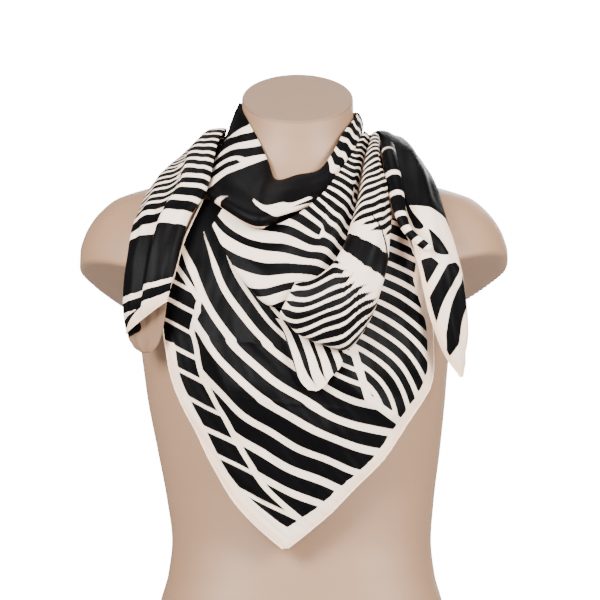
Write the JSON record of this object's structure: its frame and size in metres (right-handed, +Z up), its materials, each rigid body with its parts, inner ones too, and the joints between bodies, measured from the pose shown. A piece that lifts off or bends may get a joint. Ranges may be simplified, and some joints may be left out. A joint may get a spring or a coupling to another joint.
{
  "type": "silk square scarf on a limbless torso display form",
  "caption": "Square scarf folded on its diagonal, its point hanging in front, its ends wound round the neck and over both shoulders.",
  "frame": {"origin": "middle of the display form's flat base", "axes": "+Z up along the torso, the front of the scarf faces -Y, +X to the right as seen from the front"},
  "size_m": [0.4579, 0.2825, 0.7159],
  "materials": {
    "printed silk": "satin, black and cream stripes",
    "pale silk": "satin, cream",
    "form": "matte"
  },
  "bodies": {
    "root": {"form": "form", "bib": "printed silk", "cowl_pouch": "pale silk", "cowl_low": "printed silk", "cowl_high": "printed silk", "collar": "printed silk", "nape_over": "printed silk", "nape_under": "printed silk", "tail_left": "printed silk", "tail_left_under": "pale silk", "tail_right": "printed silk", "tail_right_roll": "printed silk"}
  },
  "joints": []
}
